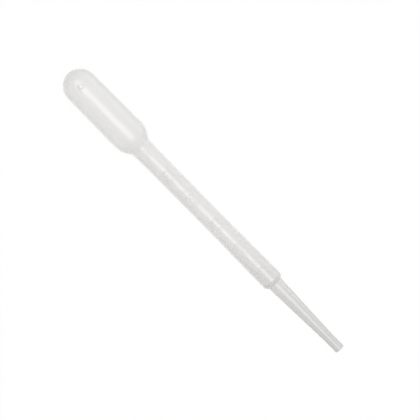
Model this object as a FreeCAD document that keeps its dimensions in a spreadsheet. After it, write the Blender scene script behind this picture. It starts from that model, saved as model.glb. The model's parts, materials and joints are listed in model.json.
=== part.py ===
"""A one-piece blow-moulded dropper pipette: bulb, graduated stem and drawn-out tip, in millimetres.

It is modelled on its own axis, +X towards the tip, and then laid on the table as it comes to rest:
on its bulb, which is soft and a little flat there, and on the foot of its stem. The origin is the
middle of its base, and +Z is up.
"""

import FreeCAD, Part
import math
import os

import Sketcher

SIZES = {
    # lengths along the pipette
    "bulbLength": 32.5,  # closed end to the bulb's widest circle
    "stemLength": 80.3,  # widest circle to the ledge that ends the stem
    "tipLength": 37.2,  # ledge to the cut end
    "waistStart": 17.5,  # widest circle to the stem's straight stretch
    "footLength": 27.8,  # straight stretch to the ledge
    "tipEndLength": 6.6,  # the tip's straight end
    # outside
    "bulbEndRadius": 6.88,  # the round closed end
    "bulbRadius": 7.08,  # the widest circle
    "shoulderRadius": 10.4,  # outline of the shoulder, from the bulb down to the neck
    "neckRadius": 4.25,
    "neckFillet": 1.8,
    "stemRadius": 4.06,  # the straight stretch, a slight waist
    "footRadius": 4.25,
    "footCorner": 1.6,
    "ledgeAngle": 48.0,  # slope of the ledge, in degrees to the axis
    "ledgeRoot": 0.6,
    "tipRootRadius": 3.05,
    "tipRadius": 1.96,
    "endEdge": 0.2,
    # walls
    "bulbWall": 0.38,
    "stemWall": 0.6,
    "tipRootWall": 1.2,
    "boreRadius": 0.85,
    # raised graduation lines, one for each half millilitre
    "firstLine": 7.2,  # ledge to the first line
    "linePitch": 13.1,
    "lineWidth": 0.45,
    "lineHeight": 0.12,
    "lineAngle": 68.0,  # how far round the stem a line runs, in degrees
    # the small raised ring on the bulb
    "ringPosition": 7.75,  # closed end to the ring's centre
    "ringRadius": 0.95,  # to the middle of its band
    "ringWidth": 0.32,
    "ringHeight": 0.1,
    # the flat spot that the soft bulb lies on
    "restFlat": 0.1,  # its depth
}

# stations along the axis, measured from the closed end
WAIST_START = "sizes.bulbLength + sizes.waistStart"
LEDGE = "sizes.bulbLength + sizes.stemLength"
WAIST_END = LEDGE + " - sizes.footLength"
TIP_END = LEDGE + " + sizes.tipLength"
BORE_START = TIP_END + " - sizes.tipEndLength"

# the ledge's two roundings share its slope: a rounding of radius r takes up r * HALF_TURN of it
HALF_TURN = "tan(sizes.ledgeAngle / 2)"
SLOPE = "((sizes.footRadius - sizes.tipRootRadius) / sin(sizes.ledgeAngle))"
CORNER_SHARE, ROOT_SHARE = 0.65, 0.3

# the ring stands ringHeight above the bulb's side
RING_TOP = (
    "sizes.bulbEndRadius + sizes.ringHeight + (sizes.bulbRadius - sizes.bulbEndRadius)"
    " * (sizes.ringPosition - sizes.bulbEndRadius) / (sizes.bulbLength - sizes.bulbEndRadius)"
)

# the outline of the outside, and of the cavity one wall inside it
OUTSIDE = {
    "bulbEndRadius": "sizes.bulbEndRadius",
    "bulbRadius": "sizes.bulbRadius",
    "shoulderRadius": "sizes.shoulderRadius",
    "neckFillet": "sizes.neckFillet",
    "neckRadius": "sizes.neckRadius",
    "stemRadius": "sizes.stemRadius",
    "ledge": LEDGE,
    "footRadius": "sizes.footRadius",
    "footCorner": f"min(sizes.footCorner; {CORNER_SHARE} * {SLOPE} / {HALF_TURN})",
    "ledgeRoot": f"min(sizes.ledgeRoot; {ROOT_SHARE} * {SLOPE} / {HALF_TURN})",
    "tipRootRadius": "sizes.tipRootRadius",
    "tipRadius": "sizes.tipRadius",
}
CAVITY = {
    "bulbEndRadius": "sizes.bulbEndRadius - sizes.bulbWall",
    "bulbRadius": "sizes.bulbRadius - sizes.bulbWall",
    "shoulderRadius": "sizes.shoulderRadius - sizes.bulbWall",
    "neckFillet": "sizes.neckFillet + sizes.stemWall",
    "neckRadius": "sizes.neckRadius - sizes.stemWall",
    "stemRadius": "sizes.stemRadius - sizes.stemWall",
    "ledge": f"{LEDGE} - sizes.stemWall * {HALF_TURN}",
    "footRadius": "sizes.footRadius - sizes.stemWall",
    "footCorner": "max(sizes.footCorner - sizes.stemWall; sizes.endEdge)",
    "ledgeRoot": "sizes.ledgeRoot + sizes.stemWall",
    "tipRootRadius": "sizes.tipRootRadius - sizes.tipRootWall",
    "tipRadius": "sizes.boreRadius",
}

START, END, CENTRE = 1, 2, 3  # the points of a line or an arc in a sketch
ORIGIN = (-1, 1)
AXIS = -1  # a sketch's horizontal axis, which is the pipette's own

doc = FreeCAD.newDocument("pipette")
sheet = doc.addObject("Spreadsheet::Sheet", "sizes")
for row, (name, value) in enumerate(SIZES.items(), 1):
    sheet.set(f"A{row}", name)
    sheet.set(f"B{row}", str(value))
    sheet.setAlias(f"B{row}", name)
doc.recompute()


class Outline:
    """A sketch in a plane through the pipette's axis: x runs along it and y away from it."""

    def __init__(self, body, name, role="XZ_Plane"):
        self.sketch = body.newObject("Sketcher::SketchObject", name)
        plane = next(f for f in body.Origin.OriginFeatures if f.Role == role)
        self.sketch.AttachmentSupport = (plane, [""])
        self.sketch.MapMode = "FlatFace"

    def line(self, start, end, construction=False):
        ends = [FreeCAD.Vector(x, y, 0) for x, y in (start, end)]
        return self.sketch.addGeometry(Part.LineSegment(*ends), construction)

    def arc(self, centre, radius, fromAngle, toAngle):
        """An arc drawn anticlockwise from one angle to the other, in degrees."""
        circle = Part.Circle(FreeCAD.Vector(*centre, 0), FreeCAD.Vector(0, 0, 1), radius)
        ends = [math.radians(angle) for angle in (fromAngle, toAngle)]
        return self.sketch.addGeometry(Part.ArcOfCircle(circle, *ends))

    def circle(self, centre, radius, construction=False):
        circle = Part.Circle(FreeCAD.Vector(*centre, 0), FreeCAD.Vector(0, 0, 1), radius)
        return self.sketch.addGeometry(circle, construction)

    def point(self, x, y):
        return self.sketch.addGeometry(Part.Point(FreeCAD.Vector(x, y, 0)), True)

    def tie(self, kind, *where):
        self.sketch.addConstraint(Sketcher.Constraint(kind, *where))

    def bind(self, kind, expression, *where):
        """A dimension that starts at what is drawn and then follows its expression."""
        if kind == "Radius":
            drawn = self.sketch.Geometry[where[0]].Radius
        elif kind == "Angle":
            run = self.sketch.getPoint(where[0], END) - self.sketch.getPoint(where[0], START)
            drawn = math.atan2(run.y, run.x)
        else:
            point = self.sketch.getPoint(*where)
            drawn = point.x if kind == "DistanceX" else point.y
            where = ORIGIN + where
        index = self.sketch.addConstraint(Sketcher.Constraint(kind, *where, drawn))
        self.sketch.setExpression(f"Constraints[{index}]", expression)

    def measure(self, name, kind, *where):
        """A named reference dimension, which other expressions can read."""
        index = self.sketch.addConstraint(Sketcher.Constraint(kind, *where, 1.0))
        self.sketch.setDriving(index, False)
        self.sketch.renameConstraint(index, name)


def drawProfile(body, name, size):
    """Half the section of the outside or of the cavity, from the closed end to the cut end."""
    o = Outline(body, name)
    s = SIZES

    # first positions, near enough for the constraints to settle
    ledgeX = s["bulbLength"] + s["stemLength"]
    waistX = s["bulbLength"] + s["waistStart"]
    footX = ledgeX - s["footLength"]
    tipX = ledgeX + s["tipLength"]
    boreX = tipX - s["tipEndLength"]
    slope = s["ledgeAngle"]
    halfSlope = math.tan(math.radians(slope / 2))
    cornerX = ledgeX - s["footCorner"] * halfSlope
    ledgeEndX = ledgeX + (s["footRadius"] - s["tipRootRadius"]) / math.tan(math.radians(slope))
    rootX = ledgeEndX + s["ledgeRoot"] * halfSlope
    shoulderY = s["bulbRadius"] - s["shoulderRadius"]
    filletY = s["neckRadius"] + s["neckFillet"]
    reach = s["shoulderRadius"] + s["neckFillet"]
    turn = math.degrees(math.asin((filletY - shoulderY) / reach))
    filletX = s["bulbLength"] + reach * math.cos(math.radians(turn))

    closedEnd = o.arc((s["bulbEndRadius"], 0), s["bulbEndRadius"], 90, 180)
    side = o.line((s["bulbEndRadius"], s["bulbEndRadius"]), (s["bulbLength"], s["bulbRadius"]))
    shoulder = o.arc((s["bulbLength"], shoulderY), s["shoulderRadius"], turn, 90)
    fillet = o.arc((filletX, filletY), s["neckFillet"], 180 + turn, 270)
    neck = o.line((filletX, s["neckRadius"]), (waistX, s["stemRadius"]))
    waist = o.line((waistX, s["stemRadius"]), (footX, s["stemRadius"]))
    foot = o.line((footX, s["stemRadius"]), (cornerX, s["footRadius"]))
    corner = o.arc((cornerX, s["footRadius"] - s["footCorner"]), s["footCorner"], 90 - slope, 90)
    ledge = o.line((ledgeX, s["footRadius"]), (ledgeEndX, s["tipRootRadius"]))
    root = o.arc((rootX, s["tipRootRadius"] + s["ledgeRoot"]), s["ledgeRoot"], 270 - slope, 270)
    taper = o.line((rootX, s["tipRootRadius"]), (boreX, s["tipRadius"]))
    tipEnd = o.line((boreX, s["tipRadius"]), (tipX, s["tipRadius"]))
    face = o.line((tipX, s["tipRadius"]), (tipX, 0))
    axis = o.line((tipX, 0), (0, 0))
    ledgeTop = o.point(ledgeX, s["footRadius"])  # where foot and ledge would meet in a sharp corner

    # one closed chain, smooth wherever an arc meets its neighbour
    o.tie("PointOnObject", closedEnd, CENTRE, AXIS)
    o.tie("PointOnObject", closedEnd, END, AXIS)
    o.tie("Tangent", closedEnd, START, side, START)
    o.tie("Tangent", side, END, shoulder, END)
    o.tie("Tangent", shoulder, START, fillet, START)
    o.tie("Tangent", fillet, END, neck, START)
    o.tie("Coincident", neck, END, waist, START)
    o.tie("Horizontal", waist)
    o.tie("Coincident", waist, END, foot, START)
    o.tie("Tangent", foot, END, corner, END)
    o.tie("Tangent", corner, START, ledge, START)
    o.tie("Tangent", ledge, END, root, START)
    o.tie("Tangent", root, END, taper, START)
    o.tie("Coincident", taper, END, tipEnd, START)
    o.tie("Horizontal", tipEnd)
    o.tie("Coincident", tipEnd, END, face, START)
    o.tie("Vertical", face)
    o.tie("PointOnObject", face, END, AXIS)
    o.tie("Coincident", face, END, axis, START)
    o.tie("Coincident", axis, END, closedEnd, END)
    o.tie("PointOnObject", ledgeTop, START, foot)
    o.tie("PointOnObject", ledgeTop, START, ledge)

    o.bind("DistanceX", "sizes.bulbEndRadius", closedEnd, CENTRE)
    o.bind("Radius", size["bulbEndRadius"], closedEnd)
    o.bind("DistanceX", "sizes.bulbLength", side, END)
    o.bind("DistanceY", size["bulbRadius"], side, END)
    o.bind("Radius", size["shoulderRadius"], shoulder)
    o.bind("Radius", size["neckFillet"], fillet)
    o.bind("DistanceY", size["neckRadius"], neck, START)
    o.bind("DistanceX", WAIST_START, neck, END)
    o.bind("DistanceY", size["stemRadius"], neck, END)
    o.bind("DistanceX", WAIST_END, waist, END)
    o.bind("DistanceX", size["ledge"], ledgeTop, START)
    o.bind("DistanceY", size["footRadius"], ledgeTop, START)
    o.bind("Radius", size["footCorner"], corner)
    o.bind("Angle", "-sizes.ledgeAngle", ledge)
    o.bind("Radius", size["ledgeRoot"], root)
    o.bind("DistanceY", size["tipRootRadius"], taper, START)
    o.bind("DistanceX", BORE_START, taper, END)
    o.bind("DistanceY", size["tipRadius"], taper, END)
    o.bind("DistanceX", TIP_END, face, END)

    if size is OUTSIDE:
        # the table's edge-on line, restFlat inside the shoulder and laid against the foot's corner;
        # the rest is settled first, so that the line starts near its place
        doc.recompute()
        middle, radius = o.sketch.getPoint(shoulder, CENTRE), s["shoulderRadius"] - s["restFlat"]
        inside = o.circle((middle.x, middle.y), radius, True)
        table = o.line((s["bulbLength"], middle.y + radius), (ledgeX, s["footRadius"]), True)
        o.tie("Coincident", inside, CENTRE, shoulder, CENTRE)
        o.bind("Radius", "sizes.shoulderRadius - sizes.restFlat", inside)
        o.tie("Tangent", table, inside)
        o.tie("Tangent", table, corner)
        o.bind("DistanceX", "sizes.bulbLength", table, START)
        o.bind("DistanceX", LEDGE, table, END)
        o.measure("tableAngle", "Angle", table)
        o.measure("tableDistance", "Distance", *ORIGIN, table)
        o.measure("shoulderEnd", "DistanceX", *ORIGIN, fillet, START)
        o.measure("neckStart", "DistanceX", *ORIGIN, neck, START)
    return o.sketch


def drawLines(body, outside):
    """The section of each graduation line, from the bore's radius to lineHeight above the stem.

    The cavity, which is cut later, leaves only what stands in and on the wall.
    """
    o = Outline(body, "LineSections")
    s = SIZES
    ledgeX = s["bulbLength"] + s["stemLength"]
    neckX = outside.getDatum("neckStart").Value
    waistX = s["bulbLength"] + s["waistStart"]
    footX = ledgeX - s["footLength"]
    topY = s["stemRadius"] + s["lineHeight"]
    bottomY = s["boreRadius"]

    # the stem's outline, raised by lineHeight
    neck = o.line((neckX, s["neckRadius"] + s["lineHeight"]), (waistX, topY), True)
    waist = o.line((waistX, topY), (footX, topY), True)
    foot = o.line((footX, topY), (ledgeX, s["footRadius"] + s["lineHeight"]), True)
    o.tie("Coincident", neck, END, waist, START)
    o.tie("Horizontal", waist)
    o.tie("Coincident", waist, END, foot, START)
    o.bind("DistanceX", "OutsideProfile.Constraints.neckStart", neck, START)
    o.bind("DistanceY", "sizes.neckRadius + sizes.lineHeight", neck, START)
    o.bind("DistanceX", WAIST_START, waist, START)
    o.bind("DistanceY", "sizes.stemRadius + sizes.lineHeight", waist, START)
    o.bind("DistanceX", WAIST_END, waist, END)
    o.bind("DistanceX", LEDGE, foot, END)
    o.bind("DistanceY", "sizes.footRadius + sizes.lineHeight", foot, END)

    # as many lines as the stem has room for below the shoulder
    room = ledgeX - s["firstLine"] - outside.getDatum("shoulderEnd").Value
    for i in range(int(room / s["linePitch"]) + 1):
        middle = ledgeX - s["firstLine"] - i * s["linePitch"]
        left, right = middle - s["lineWidth"] / 2, middle + s["lineWidth"] / 2
        under = neck if middle < waistX else waist if middle < footX else foot
        bottom = o.line((left, bottomY), (right, bottomY))
        rise = o.line((right, bottomY), (right, topY))
        top = o.line((right, topY), (left, topY))
        fall = o.line((left, topY), (left, bottomY))
        for one, other in ((bottom, rise), (rise, top), (top, fall), (fall, bottom)):
            o.tie("Coincident", one, END, other, START)
        o.tie("Horizontal", bottom)
        o.tie("Vertical", rise)
        o.tie("Vertical", fall)
        o.tie("PointOnObject", top, START, under)
        o.tie("PointOnObject", top, END, under)
        place = f"{LEDGE} - sizes.firstLine - {i} * sizes.linePitch"
        o.bind("DistanceX", place + " - sizes.lineWidth / 2", bottom, START)
        o.bind("DistanceX", place + " + sizes.lineWidth / 2", bottom, END)
        o.bind("DistanceY", "sizes.boreRadius", bottom, START)
    return o.sketch


def drawRing(body):
    """The ring's two circles, seen from above and drawn on the axis, from where it is raised."""
    o = Outline(body, "RingOutline", "XY_Plane")
    for radius in ("sizes.ringRadius - sizes.ringWidth / 2", "sizes.ringRadius + sizes.ringWidth / 2"):
        circle = o.circle((SIZES["ringPosition"], 0), SIZES["ringRadius"])
        o.tie("PointOnObject", circle, CENTRE, AXIS)
        o.bind("DistanceX", "sizes.ringPosition", circle, CENTRE)
        o.bind("Radius", radius, circle)
    return o.sketch


def turned(body, kind, name, sketch):
    """A sketch turned about the pipette's axis, all the way round unless its angle is set."""
    feature = body.newObject(kind, name)
    feature.Profile = sketch
    feature.ReferenceAxis = (sketch, ["H_Axis"])
    return feature


def circleAt(shape, x, radius):
    """The name of the circle of one radius round the axis at one station."""
    for number, edge in enumerate(shape.Edges, 1):
        if edge.Degenerated or not isinstance(edge.Curve, Part.Circle):
            continue
        circle = edge.Curve
        if abs(circle.Center.x - x) < 1e-4 and abs(circle.Radius - radius) < 1e-4:
            return f"Edge{number}"
    raise ValueError(f"no circle of radius {radius} at {x}")


def check():
    """Stops before anything is written if a step of the model failed."""
    for item in doc.Objects:
        if {"Invalid", "Error"} & set(item.State):
            raise RuntimeError(f"{item.Name} failed: {item.State}")
        if item.TypeId == "Sketcher::SketchObject" and not item.FullyConstrained:
            raise RuntimeError(f"{item.Name} isn't fully constrained")
    shape = body.Shape
    if shape.isNull() or not shape.isValid() or len(shape.Solids) != 1:
        raise RuntimeError("the pipette isn't one sound solid")


body = doc.addObject("PartDesign::Body", "pipette")
body.Label = "pipette"

outside = drawProfile(body, "OutsideProfile", OUTSIDE)
turned(body, "PartDesign::Revolution", "Outside", outside)
doc.recompute()

lines = turned(body, "PartDesign::Revolution", "Graduations", drawLines(body, outside))
lines.Midplane = True
lines.setExpression("Angle", "sizes.lineAngle")

ring = body.newObject("PartDesign::Pad", "Ring")
ring.Profile = drawRing(body)
ring.setExpression("Length", RING_TOP)

# all that would be under the table at the bulb is cut away
TILT = "OutsideProfile.Constraints.tableAngle"
TABLE_DISTANCE = "OutsideProfile.Constraints.tableDistance"
flat = body.newObject("PartDesign::SubtractiveBox", "RestFlat")
flat.setExpression("Length", "sizes.bulbLength + sizes.shoulderRadius")
flat.setExpression("Width", "2 * sizes.bulbRadius")
flat.setExpression("Height", TABLE_DISTANCE)
flat.Placement.Rotation.Axis = FreeCAD.Vector(0, 1, 0)
flat.setExpression("Placement.Rotation.Angle", TILT)
flat.setExpression("Placement.Base.x", f"-2 * {TABLE_DISTANCE} * sin({TILT})")
flat.setExpression("Placement.Base.y", "-sizes.bulbRadius")
flat.setExpression("Placement.Base.z", f"-2 * {TABLE_DISTANCE} * cos({TILT})")

cavity = turned(body, "PartDesign::Groove", "Cavity", drawProfile(body, "CavityProfile", CAVITY))
doc.recompute()

tipEnd = SIZES["bulbLength"] + SIZES["stemLength"] + SIZES["tipLength"]
edge = body.newObject("PartDesign::Fillet", "EndEdge")
edge.Base = (cavity, [circleAt(cavity.Shape, tipEnd, SIZES["tipRadius"])])
edge.setExpression("Radius", "sizes.endEdge")
body.Tip = edge

# laid on the table line, with the origin in the middle between the closed end and the cut end
AXIS_REACH = f"(({TIP_END} - sizes.endEdge) * cos({TILT}) + sizes.endEdge)"
RIM_REACH = f"(sizes.tipRadius - sizes.endEdge) * sin(-{TILT})"
BULB_REACH = f"sizes.bulbEndRadius * (1 - cos({TILT}))"
body.Placement.Rotation.Axis = FreeCAD.Vector(0, 1, 0)
body.setExpression("Placement.Rotation.Angle", f"-{TILT}")
body.setExpression("Placement.Base.x", f"({BULB_REACH} - {AXIS_REACH} - {RIM_REACH}) / 2")
body.setExpression("Placement.Base.z", TABLE_DISTANCE)
doc.recompute()

check()
os.makedirs("parts", exist_ok=True)
body.Shape.exportStep(f"parts/{body.Label}.step")
print(f"{body.Label}: {body.Shape.Volume:.1f} mm3, {len(body.Shape.Faces)} faces")
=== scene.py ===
import json
import math

import bmesh
import bpy
from mathutils import Matrix, Vector


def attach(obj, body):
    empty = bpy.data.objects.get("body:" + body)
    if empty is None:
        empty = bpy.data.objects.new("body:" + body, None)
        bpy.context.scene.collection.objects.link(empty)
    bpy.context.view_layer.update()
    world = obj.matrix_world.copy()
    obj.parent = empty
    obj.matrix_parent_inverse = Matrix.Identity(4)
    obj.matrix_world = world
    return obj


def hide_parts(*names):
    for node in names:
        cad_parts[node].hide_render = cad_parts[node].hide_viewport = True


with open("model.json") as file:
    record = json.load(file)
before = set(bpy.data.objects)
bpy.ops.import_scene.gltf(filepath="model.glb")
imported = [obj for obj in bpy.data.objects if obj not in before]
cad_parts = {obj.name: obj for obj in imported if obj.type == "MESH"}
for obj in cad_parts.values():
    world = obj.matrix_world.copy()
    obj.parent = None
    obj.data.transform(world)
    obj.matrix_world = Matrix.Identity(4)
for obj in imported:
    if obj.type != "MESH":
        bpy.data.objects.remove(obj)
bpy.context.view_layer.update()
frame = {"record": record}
scene = bpy.context.scene
print("frame loaded")

# Lengths are in metres. Stations run along the pipette's own axis, from its closed end.
pipette = dict(
    bulbLength=0.0325, stemLength=0.0803, tipLength=0.0372,
    waistStart=0.05, waistEnd=0.085, boreStart=0.1434,
    bulbEndRadius=0.00688, bulbRadius=0.00708, shoulderRadius=0.0104,
    neckRadius=0.00425, neckFillet=0.0018, stemRadius=0.00406,
    footRadius=0.00425, footCorner=0.0016, ledgeAngle=48, ledgeRoot=0.0006,
    tipRootRadius=0.00305, tipRadius=0.00196, endEdge=0.0002,
    bulbWall=0.00038, stemWall=0.0006, tipRootWall=0.0012, boreRadius=0.00085,
    arcStep=5,  # degrees to one step of an arc
)
ledge = pipette["bulbLength"] + pipette["stemLength"]
length = ledge + pipette["tipLength"]
samePlace = 1e-7  # points nearer than this are one

# where the axis lies, from the bore that the record states at the cut end
bore = next(mount for mount in frame["record"]["mounts"] if mount["name"] == "tip_bore")
along = Vector(bore["axis"]).normalized()
cutEnd = Vector(bore["pos_m"]) + along * bore["dims"]["length_mm"] / 2000  # half of it, in metres
upwards = Vector((-along.z, 0, along.x))
turned = Matrix((along, (0, 1, 0), upwards)).transposed()
place = Matrix.Translation(cutEnd - along * length) @ turned.to_4x4()


def arc(x, y, radius, start, end):
    steps = max(2, round(abs(end - start) / pipette["arcStep"]))
    angles = [math.radians(start + (end - start) * i / steps) for i in range(steps + 1)]
    return [(x + radius * math.cos(a), y + radius * math.sin(a)) for a in angles]


def outline(bulbWall, stemWall, tipRootWall, tipRadius):
    # half a lengthwise section, a wall inside the outside, as far as the tip's straight end
    p = pipette
    bulbEnd, bulb = p["bulbEndRadius"] - bulbWall, p["bulbRadius"] - bulbWall
    shoulder, fillet = p["shoulderRadius"] - bulbWall, p["neckFillet"] + stemWall
    shoulderY, filletY = bulb - shoulder, p["neckRadius"] - stemWall + fillet
    turn = math.asin((filletY - shoulderY) / (shoulder + fillet))
    filletX = p["bulbLength"] + (shoulder + fillet) * math.cos(turn)
    turn = math.degrees(turn)

    slope = math.radians(p["ledgeAngle"])
    waist, foot = p["stemRadius"] - stemWall, p["footRadius"] - stemWall
    tipRoot = p["tipRootRadius"] - tipRootWall
    corner, root = p["footCorner"] - stemWall, p["ledgeRoot"] + stemWall
    ledgeStart = ledge - stemWall * math.tan(slope / 2)
    ledgeEnd = ledgeStart + (foot - tipRoot) / math.tan(slope)
    cornerX, rootX = ledgeStart - corner * math.tan(slope / 2), ledgeEnd + root * math.tan(slope / 2)

    points = arc(p["bulbEndRadius"], 0, bulbEnd, 180, 90)
    points += arc(p["bulbLength"], shoulderY, shoulder, 90, turn)
    points += arc(filletX, filletY, fillet, 180 + turn, 270)[1:]
    points += [(p["waistStart"], waist), (p["waistEnd"], waist)]
    points += arc(cornerX, foot - corner, corner, 90, 90 - p["ledgeAngle"])
    points += arc(rootX, tipRoot + root, root, 270 - p["ledgeAngle"], 270)
    return points + [(p["boreStart"], tipRadius)]


def radiusAt(points, x):
    for (x1, y1), (x2, y2) in zip(points, points[1:]):
        if x1 <= x <= x2 and x2 > x1:
            return y1 + (y2 - y1) * (x - x1) / (x2 - x1)
    return points[0][1] if x < points[0][0] else points[-1][1]


endEdge = pipette["endEdge"]
outside = outline(0, 0, 0, pipette["tipRadius"])
outside += arc(length - endEdge, pipette["tipRadius"] - endEdge, endEdge, 90, 0)
cavity = outline(pipette["bulbWall"], pipette["stemWall"], pipette["tipRootWall"], pipette["boreRadius"])
cavity += [(length, pipette["boreRadius"])]

density = dict(
    closedEnd=0.0012, cutEnd=0.001,  # the stretches at the ends that take their neighbour's density
    footGain=0.15,  # how much denser the stem gets from its waist to the ledge
    # the plastic is darker in a narrow band at the ledge's corner; the paler band just below is painted
    # light that lifts the shade in the ledge's hollow root
    corner=0.42, cornerAt=-0.0004, cornerReach=0.00028,
    # painted light: a paler band that cancels the shade of the ledge's hollow root
    root=-0.4, rootAt=0.0008, rootReach=0.0005,
)


def wallShare(x):
    # how much of a cross-section is plastic, which is how dense it looks
    x = min(max(x, density["closedEnd"]), length - density["cutEnd"])
    pastWaist = max(x - pipette["waistEnd"], 0) / (ledge - pipette["waistEnd"])
    foot = density["footGain"] * pastWaist if x < ledge else 0
    return 1 - (radiusAt(cavity, x) / radiusAt(outside, x)) ** 2 + foot


# greyer at the ledge's corner, plus painted light in the hollow root just below it
def bunched(x):
    d = density
    corner = d["corner"] * math.exp(-((x - ledge - d["cornerAt"]) / d["cornerReach"]) ** 2)
    return corner + d["root"] * math.exp(-((x - ledge - d["rootAt"]) / d["rootReach"]) ** 2)


class Value:
    # a node's output that takes part in sums
    def __init__(self, graph, socket):
        self.graph, self.socket = graph, socket

    def sum(self, operation, *values):
        return self.graph.node("ShaderNodeMath", dict(operation=operation), dict(enumerate(values)))["Value"]

    def __add__(self, other):
        return self.sum("ADD", self, other)

    def __sub__(self, other):
        return self.sum("SUBTRACT", self, other)

    def __rsub__(self, other):
        return self.sum("SUBTRACT", other, self)

    def __mul__(self, other):
        return self.sum("MULTIPLY", self, other)

    def __or__(self, other):  # the larger of the two
        return self.sum("MAXIMUM", self, other)

    __radd__, __rmul__, __ror__ = __add__, __mul__, __or__


class Graph:
    def __init__(self, owner):
        owner.use_nodes = True
        self.tree = owner.node_tree
        self.tree.nodes.clear()

    def node(self, kind, settings={}, inputs={}):
        node = self.tree.nodes.new(kind)
        for name, setting in settings.items():
            if name == "stops":
                ramp = node.color_ramp.elements
                while len(ramp) < len(setting):
                    ramp.new(1)
                for element, (position, colour) in zip(ramp, setting):
                    element.position, element.color = position, colour
            else:
                setattr(node, name, setting)
        for name, value in inputs.items():
            socket = node.inputs[name]
            if isinstance(name, str):
                socket = next(i for i in node.inputs if i.name == name and i.enabled)
            if isinstance(value, Value):
                self.tree.links.new(value.socket, socket)
            else:
                socket.default_value = value
        return {output.name: Value(self, output) for output in node.outputs if output.enabled}


plastic = dict(
    colours=(  # by density: the bulb, the stem, the tip's root and the thickest plastic
        (0.1, (0.946, 0.938, 0.923, 1)), (0.27, (0.97, 0.956, 0.94, 1)),
        (0.63, (0.885, 0.875, 0.86, 1)), (0.85, (0.72, 0.72, 0.705, 1)),
    ),
    thinAlpha=0.28, alphaByWall=0.78, alphaUneven=0.6,
    roughness=0.26, markRoughness=0.5, roughUneven=0.05,
    ior=1.51, shine=0.6, skin=1, skinByWall=-0.8, skinRoughness=0.22,
    cloudSize=160, streakSize=900, grainSize=5200,  # per metre
    cloudDepth=0.03, streakDepth=0.02, streakStretch=25,
    grainBump=0.06, grainHeight=0.00002, markGrainHeight=0.00004,
)


def naturalPlastic(name, roughness, grainHeight):
    s = plastic
    material = bpy.data.materials.new(name)
    graph = Graph(material)
    node = graph.node
    wall = node("ShaderNodeAttribute", dict(attribute_name="wallShare"))["Fac"]
    greyAndPaintedLight = node("ShaderNodeAttribute", dict(attribute_name="bunched"))["Fac"]
    where = node("ShaderNodeTexCoord")["Object"]
    # flow streaks run along the axis
    streaked = node(
        "ShaderNodeMapping", dict(vector_type="TEXTURE"),
        dict(Vector=where, Rotation=(0, math.asin(-along.z), 0), Scale=(s["streakStretch"], 1, 1)),
    )["Vector"]
    clouds = node("ShaderNodeTexNoise", {}, dict(Vector=where, Scale=s["cloudSize"], Detail=3))["Fac"]
    streaks = node("ShaderNodeTexNoise", {}, dict(Vector=streaked, Scale=s["streakSize"], Detail=2))["Fac"]
    grain = node("ShaderNodeTexNoise", {}, dict(Vector=where, Scale=s["grainSize"], Detail=2))["Fac"]
    uneven = (clouds - 0.5) * s["cloudDepth"] + (streaks - 0.5) * s["streakDepth"]
    rough = roughness + (clouds - 0.5) * s["roughUneven"] + (grain - 0.5) * s["roughUneven"]

    # besides the wall's density, the colour takes the ledge's painted light and the ring's painted shade
    colour = node("ShaderNodeValToRGB", dict(stops=s["colours"]), dict(Fac=wall + greyAndPaintedLight + uneven))["Color"]
    bump = node(
        "ShaderNodeBump", {}, dict(Strength=s["grainBump"], Distance=grainHeight, Height=grain))["Normal"]
    shader = node("ShaderNodeBsdfPrincipled", {}, {
        "Base Color": colour,
        "Roughness": rough,
        "Alpha": s["thinAlpha"] + wall * s["alphaByWall"] + uneven * s["alphaUneven"],
        "Normal": bump,
        "Specular IOR Level": s["shine"],
        "IOR": s["ior"],
        "Coat Weight": s["skin"] + wall * s["skinByWall"],
        "Coat Roughness": s["skinRoughness"],
    })["BSDF"]
    node("ShaderNodeOutputMaterial", {}, dict(Surface=shader))
    return material


wallPlastic = naturalPlastic("naturalPlastic", plastic["roughness"], plastic["grainHeight"])
markPlastic = naturalPlastic("markPlastic", plastic["markRoughness"], plastic["markGrainHeight"])
print("plastic mixed")


def newPiece(name, bm, material, smoothAngle, denser=0, paintedShade=0):
    share, greyAndPaintedLight = (bm.verts.layers.float.new(layer) for layer in ("wallShare", "bunched"))
    for vertex in bm.verts:
        vertex[share] = wallShare(vertex.co.x) + denser
        # this layer holds the ledge's painted light, plus painted shade passed in for a piece
        vertex[greyAndPaintedLight] = bunched(vertex.co.x) + paintedShade
    bm.transform(place)
    mesh = bpy.data.meshes.new(name)
    bm.to_mesh(mesh)
    bm.free()
    mesh.shade_smooth()
    mesh.set_sharp_from_angle(angle=math.radians(smoothAngle))
    mesh.materials.append(material)
    piece = bpy.data.objects.new(name, mesh)
    scene.collection.objects.link(piece)
    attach(piece, "root")
    return piece


def spinRound(bm, section, edges, axis, turns):
    # a section of loose edges goes the whole way round, and its seam and poles are closed
    bmesh.ops.spin(
        bm, geom=section + edges, axis=axis, cent=(0, 0, 0), angle=math.tau, steps=turns, use_merge=True)
    bmesh.ops.remove_doubles(bm, verts=bm.verts, dist=10 * samePlace)
    bmesh.ops.recalc_face_normals(bm, faces=bm.faces)


def cutPlane(bm, point, normal):
    bmesh.ops.bisect_plane(
        bm, geom=bm.verts[:] + bm.edges[:] + bm.faces[:], dist=samePlace, plane_co=point, plane_no=normal)


shell = dict(
    turns=120, seamWidth=0.00018, seamHeight=0.00003, smoothAngle=50,
    ledgeRows=(-0.0016, -0.0011, 0.0007, 0.0017, 0.0021, 0.003),  # for the change of density there
)


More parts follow.
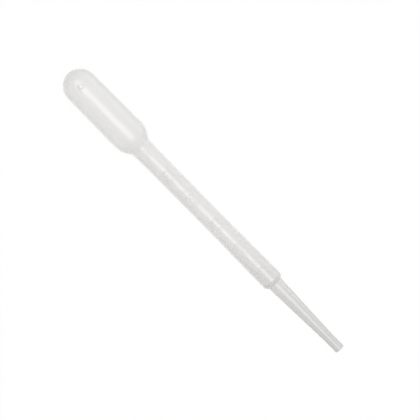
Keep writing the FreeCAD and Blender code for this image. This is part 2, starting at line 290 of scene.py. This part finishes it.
def makeShell():
    bm = bmesh.new()
    outer = bm.verts.layers.int.new("outer")
    corners = []
    for x, radius in outside + cavity[::-1]:
        vertex = bm.verts.new((x, radius, 0))
        vertex[outer] = len(corners) < len(outside)
        corners.append(vertex)
    edges = [bm.edges.new(pair) for pair in zip(corners, corners[1:])]
    spinRound(bm, corners, edges, (1, 0, 0), shell["turns"])
    for row in shell["ledgeRows"]:
        cutPlane(bm, (ledge + row, 0, 0), (1, 0, 0))

    # the mould's parting line, a fine ridge down both sides
    for side in (-1, 1):
        cutPlane(bm, (0, 0, side * shell["seamWidth"] / 2), (0, 0, 1))
    bm.normal_update()
    for vertex in bm.verts:
        if vertex[outer] and abs(vertex.co.z) < 10 * samePlace:
            vertex.co += vertex.normal * shell["seamHeight"]

    piece = newPiece("pipetteShell", bm, wallPlastic, shell["smoothAngle"])
    # the soft bulb lies a little flat on the table
    for vertex in piece.data.vertices:
        vertex.co.z = max(vertex.co.z, 0)
    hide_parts("pipette")


makeShell()
print("shell made")


def bar(across, back, height, sunk, edge):
    # a flat bar with rounded edges, whose underside is sunk in the wall
    bm = bmesh.new()
    bmesh.ops.create_cube(bm, size=1)
    depth = height + sunk
    bmesh.ops.scale(bm, vec=(across, back, depth), verts=bm.verts)
    bmesh.ops.translate(bm, vec=(0, 0, height - depth / 2), verts=bm.verts)
    bmesh.ops.bevel(bm, geom=bm.edges[:], offset=edge, affect="EDGES", segments=3, profile=0.5, material=-1)
    return bm


def cutAcross(bm, step):
    # rows of cuts, so that flat work can bend
    reach = int(max(abs(vertex.co.x) for vertex in bm.verts) / step)
    for i in range(-reach, reach + 1):
        cutPlane(bm, (i * step, 0, 0), (1, 0, 0))


def wrap(bm, station):
    # flat work goes on the pipette: x runs round it, y back towards the bulb and z outwards
    radiusThere = radiusAt(outside, station)
    for vertex in bm.verts:
        across, back, out = vertex.co
        radius = radiusAt(outside, station - back) + out
        angle = across / radiusThere
        vertex.co = (station - back, radius * math.sin(angle), radius * math.cos(angle))


marks = dict(
    first=0.0072, pitch=0.0131,  # from the ledge to the first line, and between lines
    width=0.00045, height=0.00012, sunk=0.0001, edge=0.00005,
    angle=68,  # degrees that a line reaches round the stem
    labels=("0.5", "1", "1.5", "2", "2.5", "3"),
    textSize=0.0052, textWidth=0.76, textGap=0.0006, textSteps=5, textEdgeSteps=2,
    cutStep=0.00025, denser=0.12, smoothAngle=50, textSmoothAngle=40,
)


def makeLine(station):
    span = math.radians(marks["angle"]) * radiusAt(outside, station)
    bm = bar(span, marks["width"], marks["height"], marks["sunk"], marks["edge"])
    cutAcross(bm, marks["cutStep"])
    wrap(bm, station)
    return bm


def makeNumeral(text, station):
    # station is where the numeral's top lies
    curve = bpy.data.curves.new("numeral", "FONT")
    curve.body, curve.size, curve.align_x = text, marks["textSize"], "CENTER"
    curve.bevel_depth, curve.bevel_resolution = marks["edge"], marks["textEdgeSteps"]
    curve.extrude = (marks["height"] + marks["sunk"]) / 2 - marks["edge"]
    curve.resolution_u = marks["textSteps"]
    holder = bpy.data.objects.new("numeral", curve)
    scene.collection.objects.link(holder)
    mesh = bpy.data.meshes.new_from_object(holder.evaluated_get(bpy.context.evaluated_depsgraph_get()))
    bm = bmesh.new()
    bm.from_mesh(mesh)
    bpy.data.objects.remove(holder)
    bmesh.ops.remove_doubles(bm, verts=bm.verts, dist=samePlace)
    xs, ys, zs = zip(*(vertex.co for vertex in bm.verts))
    middle = Vector(((min(xs) + max(xs)) / 2, max(ys), max(zs) - marks["height"]))
    bmesh.ops.translate(bm, vec=-middle, verts=bm.verts)
    bmesh.ops.scale(bm, vec=(marks["textWidth"], 1, 1), verts=bm.verts)
    cutAcross(bm, marks["cutStep"])
    wrap(bm, station)
    return bm


for i, label in enumerate(marks["labels"]):
    station = ledge - marks["first"] - i * marks["pitch"]
    newPiece(f"graduationLine{i + 1}", makeLine(station), markPlastic, marks["smoothAngle"], marks["denser"])
    below = station + marks["width"] / 2 + marks["textGap"]
    numeral = makeNumeral(label, below)
    newPiece(f"numeral{i + 1}", numeral, markPlastic, marks["textSmoothAngle"], marks["denser"])
print("graduations made")

ring = dict(
    station=0.00775, radius=0.00095, width=0.00032, height=0.0001, sunk=0.0001, edge=0.00008,
    # denser for its thicker raised plastic; greyer is painted shade for the dark outline of its raised edge
    turns=64, denser=0.3, paintedShade=0.35, smoothAngle=50,
)


def makeRing():
    bm = bmesh.new()
    inner, outer = ring["radius"] - ring["width"] / 2, ring["radius"] + ring["width"] / 2
    bottom, top = -ring["sunk"], ring["height"]
    section = [bm.verts.new((x, 0, z)) for x, z in (
        (inner, bottom), (outer, bottom), (outer, top), (inner, top))]
    edges = [bm.edges.new(pair) for pair in zip(section, section[1:] + section[:1])]
    spinRound(bm, section, edges, (0, 0, 1), ring["turns"])
    rims = [
        e for e in bm.edges
        if all(v.co.z > 0 for v in e.verts) and len(e.link_faces) == 2
        and abs(e.link_faces[0].normal.dot(e.link_faces[1].normal)) < 0.5
    ]
    bmesh.ops.bevel(
        bm, geom=rims, offset=ring["edge"], affect="EDGES", segments=3, profile=0.5, material=-1)
    wrap(bm, ring["station"])
    # the ring's extra grey is painted shade, not a colour of its plastic
    newPiece("bulbRing", bm, markPlastic, ring["smoothAngle"], ring["denser"], ring["paintedShade"])


makeRing()

scar = dict(
    length=0.0046, width=0.0005, height=0.00005, sunk=0.0001, edge=0.000045, cutStep=0.0002, smoothAngle=50,
)


def makeScar():
    # the weld where the mould pinched the tube shut, along the parting line
    bm = bar(scar["length"], scar["width"], scar["height"], scar["sunk"], scar["edge"])
    cutAcross(bm, scar["cutStep"])
    radius = pipette["bulbEndRadius"]
    for vertex in bm.verts:
        down, across, out = vertex.co
        angle = down / radius
        reach = radius + out
        vertex.co = (radius - reach * math.cos(angle), reach * math.sin(angle), across)
    bmesh.ops.recalc_face_normals(bm, faces=bm.faces)
    newPiece("pinchScar", bm, markPlastic, scar["smoothAngle"])


makeScar()
print("bulb marked")

paper = dict(
    size=3, below=0.00001, colour=(0.97, 0.97, 0.97, 1),
    shown=0.97,  # how much of it is plain white to the eye
)


def seenPart(graph):
    rays = graph.node("ShaderNodeLightPath")
    return rays["Is Camera Ray"] | rays["Is Glossy Ray"] | rays["Is Transmission Ray"]


def makeTable():
    bm = bmesh.new()
    bmesh.ops.create_grid(bm, x_segments=1, y_segments=1, size=paper["size"] / 2)
    bmesh.ops.translate(bm, vec=(0, 0, -paper["below"]), verts=bm.verts)
    mesh = bpy.data.meshes.new("table")
    bm.to_mesh(mesh)
    bm.free()
    material = bpy.data.materials.new("whitePaper")
    graph = Graph(material)
    lit = graph.node("ShaderNodeBsdfDiffuse", {}, dict(Color=paper["colour"]))["BSDF"]
    white = graph.node("ShaderNodeEmission", {}, dict(Strength=1))["Emission"]
    share = seenPart(graph) * paper["shown"]
    both = graph.node("ShaderNodeMixShader", {}, {0: share, 1: lit, 2: white})["Shader"]
    graph.node("ShaderNodeOutputMaterial", {}, dict(Surface=both))
    material.cycles.emission_sampling = "NONE"
    mesh.materials.append(material)
    table = bpy.data.objects.new("table", mesh)
    scene.collection.objects.link(table)


makeTable()

studio = dict(
    world=0.38,
    lamps=dict(  # radiance, width, depth, place
        overhead=(2.7, 0.9, 0.34, (-0.08, 0.028, 0.6)),
        side=(1.3, 0.8, 0.12, (0, 0.6, 0.07)),
    ),
)


def makeStudio():
    world = bpy.data.worlds.new("studio")
    scene.world = world
    graph = Graph(world)
    # the eye sees white, and the object gets the world's own light
    strength = seenPart(graph) | studio["world"]
    sky = graph.node("ShaderNodeBackground", {}, dict(Color=(1, 1, 1, 1), Strength=strength))["Background"]
    graph.node("ShaderNodeOutputWorld", {}, dict(Surface=sky))
    for name, (radiance, width, depth, position) in studio["lamps"].items():
        light = bpy.data.lights.new(name, "AREA")
        light.shape, light.size, light.size_y = "RECTANGLE", width, depth
        light.energy = radiance * width * depth * math.pi
        lamp = bpy.data.objects.new(name, light)
        scene.collection.objects.link(lamp)
        # a lamp points at the object, square across the x axis
        aim = Vector((0, -position[1], -position[2])).to_track_quat("-Z", "Y").to_matrix().to_4x4()
        lamp.matrix_world = Matrix.Translation(position) @ aim


makeStudio()

view = dict(
    lens=100, sensor=36, distance=0.451, turn=45.4,  # millimetres, metres and degrees
    right=0.00200, up=0.00085, height=0.0065,  # what it looks straight down at
)


def makeCamera():
    camera = bpy.data.cameras.new("camera")
    camera.lens, camera.sensor_width = view["lens"], view["sensor"]
    turn = math.radians(view["turn"])
    right, up = Vector((math.cos(turn), math.sin(turn), 0)), Vector((-math.sin(turn), math.cos(turn), 0))
    eye = right * view["right"] + up * view["up"] + Vector((0, 0, view["height"] + view["distance"]))
    holder = bpy.data.objects.new("camera", camera)
    scene.collection.objects.link(holder)
    holder.matrix_world = Matrix.Translation(eye) @ Matrix((right, up, (0, 0, 1))).transposed().to_4x4()
    scene.camera = holder


makeCamera()
scene.view_settings.view_transform = "Standard"
print("studio ready")
